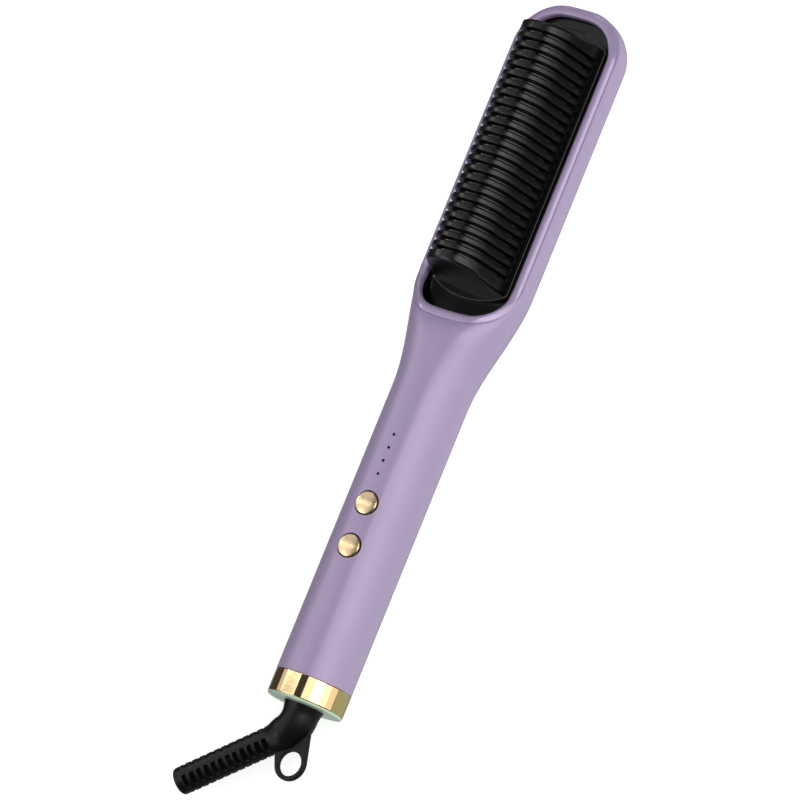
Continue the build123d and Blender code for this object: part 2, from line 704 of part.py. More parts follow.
def retaining_clip():
    """Open spring clip in the core's groove."""
    clip = sleeve(CLIP_R, JOURNAL_R - CLIP_GROOVE, CLIP_START, CLIP_START + CLIP_THICKNESS)
    mouth = block((-JOURNAL_R / 2, CLIP_START, 0), (JOURNAL_R / 2, CLIP_START + CLIP_THICKNESS, 2 * CLIP_R))
    return clip - mouth


def slip_ring_places():
    """Low edges of the two slip rings."""
    return (SLIP_RING_START, SLIP_RING_START + SLIP_RING_PITCH)


def slip_rings():
    """Contact rings on the core."""
    return [sleeve(SLIP_RING_R, JOURNAL_R, y, y + SLIP_RING_WIDTH) for y in slip_ring_places()]


def brushes():
    """Bent contact leaves, each from the socket's end to its slip ring."""
    leaves = []
    for side, ring_y in zip((1, -1), slip_ring_places()):
        contact = side * (SLIP_RING_R + BRUSH_GAP)
        inner = side * BRUSH_OUT
        outer = side * (BRUSH_OUT + BRUSH_THICKNESS)
        top = ring_y + SLIP_RING_WIDTH
        knee = top - BRUSH_THICKNESS
        profile = make_face(Polyline(
            (inner, SOCKET_END), (outer, SOCKET_END), (outer, top), (contact, top),
            (contact, knee), (inner, knee), close=True,
        ))
        leaves.append(extrude(profile, BRUSH_WIDTH / 2, both=True))
    return leaves


def supply_leads():
    """Leads from the brushes to the board's tail end."""
    x = BRUSH_OUT + BRUSH_THICKNESS / 2
    board_z = BOARD_Z - BOARD_THICKNESS / 2
    leads = []
    for side, ring_y in zip((1, -1), slip_ring_places()):
        start = ring_y + SLIP_RING_WIDTH
        points = [
            (side * x, start, 0), (side * x, start + 2 * LEAD_BEND, 0),
            (side * x, BOARD_START - LEAD_BEND, board_z), (side * x, BOARD_START, board_z),
        ]
        leads.append(tube_along(points, LEAD_R, LEAD_BEND))
    return leads


def heater_leads():
    """Leads from the board, under the tray and up to the electrode tabs."""
    board_z = BOARD_Z - BOARD_THICKNESS / 2
    leads = []
    for side, end_z in ((-1, STRIP_Z), (1, STRIP_Z + STRIP_THICKNESS + TILE_THICKNESS)):
        x = side * HEATER_LEAD_X
        points = [
            (x, BOARD_END, board_z), (x, BOARD_END + LEAD_STRAIGHT, board_z),
            (x, OPENING_START - LEAD_DIVE, HEATER_LEAD_Z),
            (x, LEAD_RISER_Y, HEATER_LEAD_Z), (x, LEAD_RISER_Y, end_z),
        ]
        leads.append(tube_along(points, LEAD_R, LEAD_BEND))
    return leads


# ---------------------------------------------------------------- cord guard

def lean(shape):
    """Turn a shape from the bend's own plane to the way that the guard leans."""
    return Rot(0, -GUARD_AZIMUTH, 0) * shape


def past_elbow(shape):
    """Put a shape drawn along +y from the elbow's corner onto the guard's straight length."""
    return Pos(0, ELBOW_CORNER_Y, 0) * Rot(0, 0, ELBOW_BEND - 180) * shape


def elbow(radius):
    """Bent round length between the neck and the sleeve."""
    centre = Axis((ELBOW_RADIUS, ELBOW_START_Y, 0), (0, 0, 1))
    return revolve(across(ELBOW_START_Y) * Circle(radius), centre, ELBOW_BEND)


def guard_outside():
    """Neck, elbow and tapering sleeve as one solid form."""
    end = SLEEVE_LENGTH + RIBS_LENGTH
    neck = turned([(0, NECK_TOP_Y), (NECK_R, NECK_TOP_Y), (NECK_R, 0), (ELBOW_R, ELBOW_START_Y), (0, ELBOW_START_Y)])
    straight = turned([
        (0, ELBOW_TANGENT), (ELBOW_R, ELBOW_TANGENT), (SLEEVE_END_R, SLEEVE_LENGTH),
        (TIP_R, end), (0, end),
    ])
    tip_edge = straight.edges().group_by(Axis.Y)[-1]
    return neck + elbow(ELBOW_R) + past_elbow(fillet(tip_edge, TIP_ROUND))


def rib_pockets():
    """Rows of pockets that leave the flexible ribs between them."""
    pockets = []
    for row in range(RIB_ROWS):
        turn = RIB_ROW_TURN + 360 / RIB_ROWS * row
        for i in range(POCKET_COUNT):
            low_y = SLEEVE_LENGTH + POCKET_START + POCKET_PITCH * i
            pocket = block(
                (POCKET_FLOOR_R, low_y, -POCKET_ACROSS / 2),
                (2 * SLEEVE_END_R, low_y + POCKET_LENGTH, POCKET_ACROSS / 2),
            )
            pockets.append(Rot(0, turn, 0) * pocket)
    return past_elbow(Part() + pockets)


def cord_guard(outside):
    """Rubber guard with a bore for the cord and a seat for the swivel core."""
    bore = elbow(GUARD_BORE_R) + past_elbow(along(Circle(GUARD_BORE_R), ELBOW_TANGENT, SLEEVE_LENGTH + 2 * RIBS_LENGTH))
    bore += along(Circle(GUARD_BORE_R), ELBOW_START_Y, NECK_TOP_Y)
    seat = along(Circle(JOURNAL_R), CORE_BOTTOM, NECK_TOP_Y)
    return lean(outside - bore - seat - rib_pockets())


def hanging_loop(outside):
    """Flat tab with a hole, moulded onto the outside of the elbow."""
    bend = radians(ELBOW_BEND)
    reach = ELBOW_R - WEB_NECK_DEPTH
    sleeve_x = WEB_SLEEVE_AT * sin(bend) - reach * cos(bend)
    sleeve_y = ELBOW_CORNER_Y - WEB_SLEEVE_AT * cos(bend) - reach * sin(bend)
    ends = [
        Pos(LOOP_X, LOOP_Y) * Circle(LOOP_OUTER_R),
        Pos(-reach, ELBOW_CORNER_Y + WEB_NECK_RISE) * Circle(WEB_ROOT_R),
        Pos(sleeve_x, sleeve_y) * Circle(WEB_ROOT_R),
    ]
    tab = make_hull([edge for end in ends for edge in end.edges()])
    tab -= Pos(LOOP_X, LOOP_Y) * Circle(LOOP_HOLE_R)
    return lean(extrude(tab, LOOP_THICKNESS / 2, both=True) - outside)


# ---------------------------------------------------------------- fasteners

def screw(x, y, seat_z, tip_z):
    """Screw driven upwards, with its head under the seat."""
    return post(x, y, SCREW_HEAD_R, seat_z - SCREW_HEAD, seat_z) + post(x, y, SCREW_R, seat_z, tip_z)


def shell_screws():
    """Screws from the back shell into the front shell and the tray."""
    handle = [screw(x, y, back_height(x) + WELL_DEPTH, SCREW_BITE) for x, y in handle_screws()]
    head = [screw(x, y, back_height(x) + WELL_DEPTH, TRAY_BOTTOM_Z - STEP_GAP) for x, y in head_screws()]
    return handle + head


def core_fasteners():
    """Screws from under the tray into the heater core."""
    return [screw(x, y, TRAY_BOTTOM_Z, CORE_Z + CORE_SCREW_BITE - STEP_GAP) for x, y in core_screws()]


def board_screws():
    """Screws from above the board into its posts."""
    screws = []
    for y in board_screw_places():
        head = post(0, y, SCREW_HEAD_R, BOARD_Z, BOARD_Z + SCREW_HEAD)
        shank = post(0, y, SCREW_R, BOARD_LOW_Z - BOARD_SCREW_DEPTH + STEP_GAP, BOARD_Z)
        screws.append(head + shank)
    return screws


# ---------------------------------------------------------------- the comb

def build():
    """Every piece by name."""
    form = body_form(0)
    hollow = hollow_body(form)
    outside = guard_outside()
    thermistor_place, fuse_place = sensor_places()
    return {
        "front_shell": front_shell(hollow, form),
        "back_shell": back_shell(hollow, form),
        "face_trim": face_trim(form),
        "recess_tray": recess_tray(),
        "comb_guard": comb_guard(),
        "heater_comb": heater_comb(),
        "insulating_film": insulating_film(),
        "ptc_heaters": ptc_heaters(),
        "electrode_strips": electrode_strips(),
        "core_insulator": core_insulator(),
        "thermistor": sensor(*thermistor_place),
        "thermal_fuse": sensor(*fuse_place),
        "power_button": button_cap(BUTTON_PLACES["power"]),
        "temp_button": button_cap(BUTTON_PLACES["temp"]),
        "power_plunger": switch_plunger(BUTTON_PLACES["power"]),
        "temp_plunger": switch_plunger(BUTTON_PLACES["temp"]),
        "button_switches": button_switches(),
        "button_frame": button_frame(),
        "light_guide": light_guide(),
        "lamp_chips": lamp_chips(),
        "control_board": control_board(),
        "capacitor": under_board(CAPACITOR, CAPACITOR_Y),
        "triac": under_board(TRIAC, TRIAC_Y),
        "end_ring": end_ring(),
        "end_cap": end_cap(),
        "swivel_socket": swivel_socket(),
        "swivel_core": swivel_core(),
        "retaining_clip": retaining_clip(),
        "slip_rings": slip_rings(),
        "brushes": brushes(),
        "supply_leads": supply_leads(),
        "heater_leads": heater_leads(),
        "cord_guard": cord_guard(outside),
        "hanging_loop": hanging_loop(outside),
        "shell_screws": shell_screws(),
        "core_screws": core_fasteners(),
        "board_screws": board_screws(),
    }


def main():
    """Write one STEP file per piece, moved to the part's own origin."""
    os.makedirs("parts", exist_ok=True)
    for name, shape in build().items():
        solids = [solid for piece in shape for solid in piece.solids()] if isinstance(shape, list) else shape.solids()
        placed = [ORIGIN * solid for solid in solids]
        export_step(placed[0] if len(placed) == 1 else Compound(placed), f"parts/{name}.step")


main()
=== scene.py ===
import bpy
import bmesh
import json
import math
from mathutils import Matrix, Vector


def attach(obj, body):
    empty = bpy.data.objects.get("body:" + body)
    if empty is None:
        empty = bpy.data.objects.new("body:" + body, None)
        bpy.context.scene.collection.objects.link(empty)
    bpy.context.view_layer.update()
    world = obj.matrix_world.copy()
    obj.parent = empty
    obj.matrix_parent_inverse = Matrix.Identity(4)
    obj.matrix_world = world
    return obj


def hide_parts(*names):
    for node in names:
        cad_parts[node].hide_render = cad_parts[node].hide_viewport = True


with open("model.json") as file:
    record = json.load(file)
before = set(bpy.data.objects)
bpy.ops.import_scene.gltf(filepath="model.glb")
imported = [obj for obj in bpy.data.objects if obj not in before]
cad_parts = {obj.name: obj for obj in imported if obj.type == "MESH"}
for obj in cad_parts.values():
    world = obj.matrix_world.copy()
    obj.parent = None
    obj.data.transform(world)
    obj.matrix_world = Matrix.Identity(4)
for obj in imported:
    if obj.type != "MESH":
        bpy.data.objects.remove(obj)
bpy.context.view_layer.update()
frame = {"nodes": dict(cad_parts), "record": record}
slots = {part["node"]: part["material_slot"] for part in frame["record"]["subparts"]}
bodies = {node: body for body, nodes in frame["record"]["behaviour"]["bodies"].items() for node in nodes}

# ---------------------------------------------------------------- sizes, in millimetres and radians
# The part's source has most of these sizes too, under the same names and in the same frame:
# y from the end ring's lower edge, z = 0 on the handle's axis, +x to the right with the comb up.

# Body
BODY_LENGTH = 292.0
HANDLE_R = 15.4
HEAD_HALF_WIDTH = 23.65
RIM_Z = 4.85  # height of the head's rim over the handle's axis
RIM_ROUND = 0.8
HEAD_LENGTH = 164.0  # from where the handle starts to widen to the head's tip
FLARE_LENGTH = 50.0
SLOPE_LEAD = 22.0  # from there to where the front starts to fall to the rim
SLOPE_LENGTH = 27.0
FLARE_START = BODY_LENGTH - HEAD_LENGTH
SLOPE_START = FLARE_START + SLOPE_LEAD
FLARE = (FLARE_START, FLARE_START + FLARE_LENGTH)
SLOPE = (SLOPE_START, SLOPE_START + SLOPE_LENGTH)

# Opening and tray
RIM_WIDTH = 4.1  # from the head's side to the opening
OPENING_LENGTH = 127.5
OPENING_BULGES = (1.6, 2.0)  # at the handle end and at the tip
OPENING_CORNERS = (12.5, 14.9)
OPENING_HALF_WIDTH = HEAD_HALF_WIDTH - RIM_WIDTH
OPENING_END = BODY_LENGTH - RIM_WIDTH
OPENING = (OPENING_END - OPENING_LENGTH, OPENING_END)
SKIRT_DEPTH = 1.2
TRAY_FLOOR_Z = 2.5

# Comb
COMB_OFFSET = 1.75  # from the opening's middle towards the tip
BAR_COUNT = 23
BAR_PITCH = 4.01
BAR_WIDTH = 2.2
BAR_DEPTH = 3.2
CROWN_Z = 31.5
CROWN_R = 12.5
FLANK_TILT = math.radians(13.0)
END_BLOCK = 3.4
END_LEAN = 2.2  # how much further an end block reaches at the foot
PLATE_HALF_WIDTH = 17.2
PLATE_LENGTH = 114.6
PLATE_BULGE = 4.6
PLATE_CORNER = 2.0
PLATE_THICKNESS = 2.2
SLOT_FLOOR = 2.0  # from the base plate's top to the bottom of the slots
INSULATOR_THICKNESS = 0.5
CORE_GAP = 0.3
FIN_WIDTH = 0.9
FIN_DROP = 2.0  # from the bars' crown to the fins' crown
COMB_MIDDLE = sum(OPENING) / 2 + COMB_OFFSET
COMB_LENGTH = BAR_PITCH * BAR_COUNT + (BAR_PITCH - BAR_WIDTH) + 2 * END_BLOCK
PLATE_Z = TRAY_FLOOR_Z + PLATE_THICKNESS
SLOT_BOTTOM_Z = PLATE_Z + SLOT_FLOOR
CORE_INSET = BAR_DEPTH + CORE_GAP
CORE_Z = TRAY_FLOOR_Z + INSULATOR_THICKNESS

# Buttons
BUTTON_PLACES = {"power_button": 61.6, "temp_button": 79.3}
CAP_R = 4.75
CAP_RISE = 0.75  # how far the cap's crown stands out of the handle
CAP_DOME = 0.6
CAP_FLANGE_R = 5.6
CAP_FLANGE = 0.7
FLANGE_TOP_Z = 12.07
CAP_STEM_R = 1.6
PLUNGER_TOP_Z = 7.6

# Cord guard
NECK_R = 7.9
NECK_TOP_Y = 2.8
ELBOW_R = 7.2
ELBOW_CORNER_Y = -10.25  # where the two axes of the elbow meet
ELBOW_BEND = math.radians(50.6)
ELBOW_RADIUS = 11.0
GUARD_AZIMUTH = math.radians(185.0)  # direction that the guard leans in, from +x towards +z
SLEEVE_LENGTH = 10.0  # from the elbow's corner to the ribbed length
SLEEVE_END_R = 5.6
RIBS_LENGTH = 42.4
TIP_R = 5.5
TIP_ROUND = 1.2
GUARD_BORE_R = 3.3
RIB_ROWS = 4
RIB_ROW_TURN = math.radians(54.0)  # from the bend's plane to the first row of pockets
POCKET_COUNT = 12
POCKET_PITCH = 3.28
POCKET_START = 0.6
POCKET_LENGTH = 1.8
POCKET_FLOOR_R = 3.9
ELBOW_TANGENT = ELBOW_RADIUS * math.tan(ELBOW_BEND / 2)
GUARD_REACH = SLEEVE_LENGTH + RIBS_LENGTH

# Hanging loop
LOOP_PLACE = (-4.3, -23.3)  # in the bend's plane
LOOP_HOLE_R = 4.9
LOOP_OUTER_R = 6.8
LOOP_THICKNESS = 2.0
WEB_ROOT_R = 0.8
WEB_NECK_DEPTH = 0.5  # how far the web's roots reach behind the neck's and sleeve's surface
WEB_NECK_RISE = 0.35  # from the elbow's corner back up to the web's root on the neck
WEB_SLEEVE_AT = 9.6  # along the sleeve from the elbow's corner

# Finer detail than the solids have
WELD_GAP = 0.002  # points closer than this are one point
SHARP_ANGLE = math.radians(35)  # from here an edge is rounded, or shaded as sharp
ARCH_STEPS = 44
SIDE_STEPS = 24
CORNER_STEPS = 10
LIP_CORNER_STEPS = 24
BLOCK_ROUND = 1.2
BLOCK_STEPS = 5
RAIL_SINK = 0.4  # into the base plate
BAR_ROUND = 0.4
EDGE_ROUND = 0.45
FIN_ROUND = 0.13
FIN_SINK = 0.5  # into the core
LIP_SIDE_GAP = 0.8  # from the lip to the head's side
LIP_SECTION = (  # (outwards from the opening, above the body's front), from the inner skirt over the crest
    (-0.45, -SKIRT_DEPTH), (-0.45, -0.3), (-0.45, 0.45), (-0.34, 0.9), (-0.08, 1.24), (0.25, 1.43),
    (0.6, 1.5), (1.05, 1.45), (1.55, 1.31), (2.1, 1.12), (2.6, 0.93), (2.92, 0.78),
    (3.1, 0.6), (3.14, 0.2), (3.0, 0.02), (2.85, -SKIRT_DEPTH),
)
CAP_CROWN_R = 4.58
CAP_ROUND = 0.55
CAP_ROUND_STEPS = 4
CAP_SIDES = 72
DOME_STEPS = 10
DOME_TIP_R = 0.15
GUARD_SIDES = 160
NECK_STEPS = 60
RIB_STEPS = 208
TIP_STEPS = 6
SLEEVE_BLEND = 1.0  # past each end of the step between elbow and sleeve
POCKET_HALVES = (0.95, 2.6)  # half a pocket's length and half its width
POCKET_ROUND = 0.7
POCKET_WALL = 0.28  # distance in which a pocket's side falls to its floor
POCKET_RIM = 0.14  # height of the rim round a pocket
BORE_ROUND = 0.4
LOOP_SIDES = 96
LOOP_ROUND = 0.45
HULL_STEPS = 360
LEAST_COSINE = 0.05  # of a hull side's slant to a ray that it can bound

# Camera, fitted to the photograph, in metres and in the row's frame
PICTURE_SIDE_PX = 800
FOCAL_LENGTH_PX = 6483.55
SENSOR_MM = 36.0
CAMERA_RIGHT = Vector((0.83466766, 0.37367345, -0.40459616))
CAMERA_UP = Vector((-0.25810395, 0.91434889, 0.31200714))
CAMERA_BACK = Vector((0.48653084, -0.15599441, 0.85962404))
CAMERA_PLACE = Vector((1.20554, -0.49228, 2.16652))

# Materials
NOISE_RANGE = (0.3, 0.7)  # what a noise mostly stays in

# Light, in metres
LIGHT_REACH = 1.4
NEAR = (-0.35, 0.10)  # places along y of the softboxes that light the handle
FAR = (0.10, 0.55)  # and of those that light the comb
ROOM = (-1.7, 1.5)  # and of those that light the whole object
FLOOR_HALF = 6.0


def row(x, y, z):
    """A point of the source's frame, in millimetres, as a row-frame vector in metres."""
    return Vector((x / 1000, (y - COMB_MIDDLE) / 1000, (z + HANDLE_R) / 1000))


def ease(value, low, high):
    """Smooth step from 0 at low to 1 at high."""
    share = min(max((value - low) / (high - low), 0.0), 1.0)
    return share * share * (3 - 2 * share)


# ---------------------------------------------------------------- camera
def make_camera():
    """Camera at the photograph's place and angle."""
    data = bpy.data.cameras.new("camera")
    data.sensor_width = SENSOR_MM
    data.lens = FOCAL_LENGTH_PX / PICTURE_SIDE_PX * SENSOR_MM
    data.clip_start = 0.1
    data.clip_end = 50.0
    cam = bpy.data.objects.new("camera", data)
    place = Matrix((CAMERA_RIGHT, CAMERA_UP, CAMERA_BACK)).transposed().to_4x4()
    place.translation = CAMERA_PLACE
    cam.matrix_world = place
    bpy.context.scene.collection.objects.link(cam)
    bpy.context.scene.camera = cam


make_camera()


# ---------------------------------------------------------------- node helpers
class Nodes:
    """A material's node tree, with short calls for the nodes used here."""

    def __init__(self, name):
        self.material = bpy.data.materials.new(name)
        self.material.use_nodes = True
        self.tree = self.material.node_tree
        self.bsdf = self.tree.nodes["Principled BSDF"]
        coords = self.tree.nodes.new("ShaderNodeTexCoord")
        self.place = coords.outputs["Object"]

    def link(self, a, b):
        self.tree.links.new(a, b)

    def noise(self, scale, detail=2.0):
        """Soft noise; scale is in waves to the metre."""
        node = self.tree.nodes.new("ShaderNodeTexNoise")
        node.inputs["Scale"].default_value = scale
        node.inputs["Detail"].default_value = detail
        self.link(self.place, node.inputs["Vector"])
        return node.outputs["Fac"]

    def cells(self, scale):
        """Fine cells, as of flakes in a paint."""
        node = self.tree.nodes.new("ShaderNodeTexVoronoi")
        node.inputs["Scale"].default_value = scale
        self.link(self.place, node.inputs["Vector"])
        return node.outputs["Distance"]

    def blend(self, noise, low, high):
        """Map a noise onto the colours between two."""
        node = self.tree.nodes.new("ShaderNodeValToRGB")
        for element, position, colour in zip(node.color_ramp.elements, NOISE_RANGE, (low, high)):
            element.position = position
            element.color = (*colour, 1.0)
        self.link(noise, node.inputs["Fac"])
        return node.outputs["Color"]

    def span(self, noise, low, high):
        """Map a noise onto the numbers between two."""
        node = self.tree.nodes.new("ShaderNodeMapRange")
        node.inputs["From Min"].default_value, node.inputs["From Max"].default_value = NOISE_RANGE
        node.inputs["To Min"].default_value = low
        node.inputs["To Max"].default_value = high
        self.link(noise, node.inputs["Value"])
        return node.outputs["Result"]

    def bump(self, height, distance, strength=1.0, after=None):
        """Normals of a relief that deep in metres, on top of another's."""
        node = self.tree.nodes.new("ShaderNodeBump")
        node.inputs["Strength"].default_value = strength
        node.inputs["Distance"].default_value = distance
        self.link(height, node.inputs["Height"])
        if after is not None:
            self.link(after, node.inputs["Normal"])
        return node.outputs["Normal"]

    def put(self, **sockets):
        """Set shader sockets: numbers and colours directly, node outputs by a link."""
        for name, value in sockets.items():
            socket = self.bsdf.inputs[name.replace("_", " ")]
            if isinstance(value, bpy.types.NodeSocket):
                self.link(value, socket)
            elif isinstance(value, tuple):
                socket.default_value = (*value, 1.0)
            else:
                socket.default_value = value


# ---------------------------------------------------------------- materials
def shade(colour, factor):
    """The colour, darker or lighter by a factor."""
    return tuple(c * factor for c in colour)


def moulded(name, colour, rough, grain=2500.0, depth=0.00002, coat=0.0, specular=0.5):
    """Moulded plastic or rubber: slight tone and gloss variation over a fine grain."""
    n = Nodes(name)
    tone = n.blend(n.noise(60.0, 3.0), shade(colour, 0.88), shade(colour, 1.12))
    gloss = n.span(n.noise(140.0, 3.0), rough * 0.88, rough * 1.12)
    n.put(Base_Color=tone, Roughness=gloss, Normal=n.bump(n.noise(grain), depth))
    n.put(Coat_Weight=coat, Coat_Roughness=0.1, Specular_IOR_Level=specular)
    return n.material


def pearl(name, colour, rough, coat, coat_rough):
    """Satin pearl paint over moulded plastic."""
    n = Nodes(name)
    tone = n.blend(n.noise(35.0), shade(colour, 0.985), shade(colour, 1.015))
    sparkle = n.bump(n.cells(6500.0), 0.000004, 0.06, n.bump(n.noise(420.0), 0.000012))
    gloss = n.span(n.noise(220.0, 3.0), rough * 0.93, rough * 1.07)
    n.put(Base_Color=tone, Roughness=gloss, Normal=sparkle)
    n.put(Metallic=0.18, Coat_Weight=coat, Coat_Roughness=coat_rough, Specular_IOR_Level=0.5)
    return n.material


def metal(name, colour, rough):
    """Plated metal with a faint surface wave."""
    n = Nodes(name)
    tone = n.blend(n.noise(80.0), shade(colour, 0.97), colour)
    gloss = n.span(n.noise(300.0, 3.0), rough * 0.8, rough * 1.25)
    n.put(Base_Color=tone, Roughness=gloss, Metallic=1.0, Normal=n.bump(n.noise(900.0), 0.000004))
    return n.material


LAVENDER = (0.44, 0.345, 0.56)
GLOSS_BLACK = (0.002, 0.002, 0.0022)
LOOKS = {
    "lavender_shell": pearl("lavender_paint", LAVENDER, 0.40, 0.5, 0.42),
    "lavender_trim": pearl("lavender_trim_paint", LAVENDER, 0.30, 0.9, 0.09),
    "black_gloss": moulded("black_gloss_nylon", GLOSS_BLACK, 0.3, grain=1800.0, depth=0.000005),
    "coated_aluminium": moulded("ceramic_coat", (0.002, 0.0022, 0.002), 0.2, grain=3000.0, depth=0.000002),
    "polyimide": moulded("polyimide_film", (0.5, 0.24, 0.04), 0.3),
    "heater_ceramic": moulded("heater_ceramic", (0.5, 0.48, 0.44), 0.8),
    "copper_alloy": metal("copper_alloy", (0.75, 0.45, 0.25), 0.3),
    "mica": moulded("mica_sheet", (0.5, 0.46, 0.38), 0.45),
    "zinc_steel": metal("zinc_steel", (0.6, 0.6, 0.62), 0.35),
    "gold_plate": metal("gold_plate", (1.0, 0.74, 0.40), 0.07),
    "black_nylon": moulded("black_nylon", (0.02, 0.02, 0.02), 0.5),
    "white_nylon": moulded("white_nylon", (0.75, 0.75, 0.72), 0.5),
    "smoked_acrylic": moulded("smoked_acrylic", (0.004, 0.002, 0.008), 0.3, depth=0.000004, specular=0.2),
    "lamp_resin": moulded("lamp_resin", (0.6, 0.55, 0.25), 0.35),
    "board_laminate": moulded("board_laminate", (0.02, 0.16, 0.06), 0.4),
    "pale_plastic": moulded("pale_plastic", (0.52, 0.70, 0.54), 0.22, depth=0.000006, coat=0.4),
    "lead_sleeve": moulded("lead_sleeve", (0.5, 0.03, 0.02), 0.5),
    "black_rubber": moulded(
        "black_rubber", (0.0035, 0.0035, 0.0038), 0.36, grain=3200.0, depth=0.00001, specular=0.28,
    ),
}
CAP_LOOK = metal("gold_cap", (1.0, 0.79, 0.47), 0.26)
TRAY_LOOK = moulded("tray_nylon", GLOSS_BLACK, 0.12, grain=1800.0, depth=0.000003)


def dress_nodes():
    """Give each CAD node its slot's look, and the tray a glossier one."""
    for node, obj in frame["nodes"].items():
        obj.data.materials.clear()
        obj.data.materials.append(TRAY_LOOK if node == "recess_tray" else LOOKS[slots[node]])


dress_nodes()


# ---------------------------------------------------------------- mesh helpers
class Form:
    """Points and faces of one piece, in the source's frame and in millimetres."""

    def __init__(self):
        self.points = []
        self.faces = []

    def skin(self, rings, loop=False):
        """Skin equal closed rings of points, and close both ends or join the last ring to the first."""
        count, first = len(rings[0]), len(self.points)
        for ring in rings:
            self.points += ring
        for i in range(len(rings) if loop else len(rings) - 1):
            a, b = first + i * count, first + (i + 1) % len(rings) * count
            self.faces += [(a + j, a + (j + 1) % count, b + (j + 1) % count, b + j) for j in range(count)]
        if not loop:
            self.faces.append(tuple(range(first, first + count))[::-1])
            self.faces.append(tuple(range(first + (len(rings) - 1) * count, first + len(rings) * count)))

    def turned(self, profile, y):
        """Turn (radius, z) points about the upright axis at x = 0 and y, and close both ends."""
        turns = [2 * math.pi * i / CAP_SIDES for i in range(CAP_SIDES)]
        self.skin([[(r * math.cos(t), y + r * math.sin(t), z) for t in turns] for r, z in profile])


def softened(form, soften, segments):
    """The form as a mesh whose sharp edges are rounded by soften millimetres."""
    mesh = bpy.data.meshes.new("form")
    mesh.from_pydata([row(*point) for point in form.points], [], form.faces)
    bm = bmesh.new()
    bm.from_mesh(mesh)
    bmesh.ops.remove_doubles(bm, verts=bm.verts, dist=WELD_GAP / 1000)
    bmesh.ops.recalc_face_normals(bm, faces=bm.faces)
    if soften:
        sharp = [e for e in bm.edges if len(e.link_faces) == 2 and e.calc_face_angle() > SHARP_ANGLE]
        bmesh.ops.bevel(
            bm, geom=sharp, offset=soften / 1000, offset_type="OFFSET", segments=segments,
            profile=0.5, affect="EDGES", clamp_overlap=True,
        )
    for face in bm.faces:
        face.smooth = True
    bm.to_mesh(mesh)
    bm.free()
    return mesh


def make_piece(name, node, *forms, looks=None):
    """One piece of (form, rounding, segments) parts, which stands for a CAD node and rides on its body."""
    looks = looks or [LOOKS[slots[node]]]
    joined = bmesh.new()
    for look, form in enumerate(forms):
        part = softened(*form)
        for face in part.polygons:
            face.material_index = look
        joined.from_mesh(part)
        bpy.data.meshes.remove(part)
    mesh = bpy.data.meshes.new(name)
    joined.to_mesh(mesh)
    joined.free()
    mesh.set_sharp_from_angle(angle=SHARP_ANGLE)
    piece = bpy.data.objects.new(name, mesh)
    bpy.context.scene.collection.objects.link(piece)
    piece.modifiers.new("normals", "WEIGHTED_NORMAL").keep_sharp = True
    for look in looks:
        mesh.materials.append(look)
    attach(piece, bodies[node])
    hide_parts(node)


# ---------------------------------------------------------------- comb
def arch_path(inset, low_z):
    """Points and outward normals of the comb's arch, from the right foot over the crown to the left."""
    radius = CROWN_R - inset
    centre_z = CROWN_Z - CROWN_R
    flank = (math.cos(FLANK_TILT), math.sin(FLANK_TILT))
    foot_x = radius * flank[0] + (centre_z + radius * flank[1] - low_z) * math.tan(FLANK_TILT)
    path = [((foot_x, low_z), flank)]
    for i in range(ARCH_STEPS + 1):
        turn = FLANK_TILT + (math.pi - 2 * FLANK_TILT) * i / ARCH_STEPS
        normal = (math.cos(turn), math.sin(turn))
        path.append(((radius * normal[0], centre_z + radius * normal[1]), normal))
    path.append(((-foot_x, low_z), (-flank[0], flank[1])))
    return path


def arched_bar(form, y, width, inset, depth, low_z):
    """One arched bar or fin."""
    half = width / 2
    corners = ((-half, 0), (half, 0), (half, depth), (-half, depth))
    form.skin([
        [(x - nx * d, y + across, z - nz * d) for across, d in corners]
        for (x, z), (nx, nz) in arch_path(inset, low_z)
    ])


def comb_rows(count):
    """Places of equally spaced bars or slots, about the comb's middle."""
    return [COMB_MIDDLE + BAR_PITCH * (i - (count - 1) / 2) for i in range(count)]


def end_block(form, side):
    """Solid end of the comb, rounded at its crown edge, with a face that leans outwards."""
    face_y = COMB_MIDDLE + side * COMB_LENGTH / 2
    inner_y = face_y - side * END_BLOCK
    rings = [[(x, inner_y, z) for (x, z), _ in arch_path(0, TRAY_FLOOR_Z)]]
    for i in range(BLOCK_STEPS + 1):
        turn = math.pi / 2 * i / BLOCK_STEPS
        ring = []
        for (x, z), _ in arch_path(BLOCK_ROUND * (1 - math.cos(turn)), TRAY_FLOOR_Z):
            lean = END_LEAN * (CROWN_Z - z) / (CROWN_Z - TRAY_FLOOR_Z)
            ring.append((x, face_y + side * (lean - BLOCK_ROUND * (1 - math.sin(turn))), z))
        rings.append(ring)
    form.skin(rings)


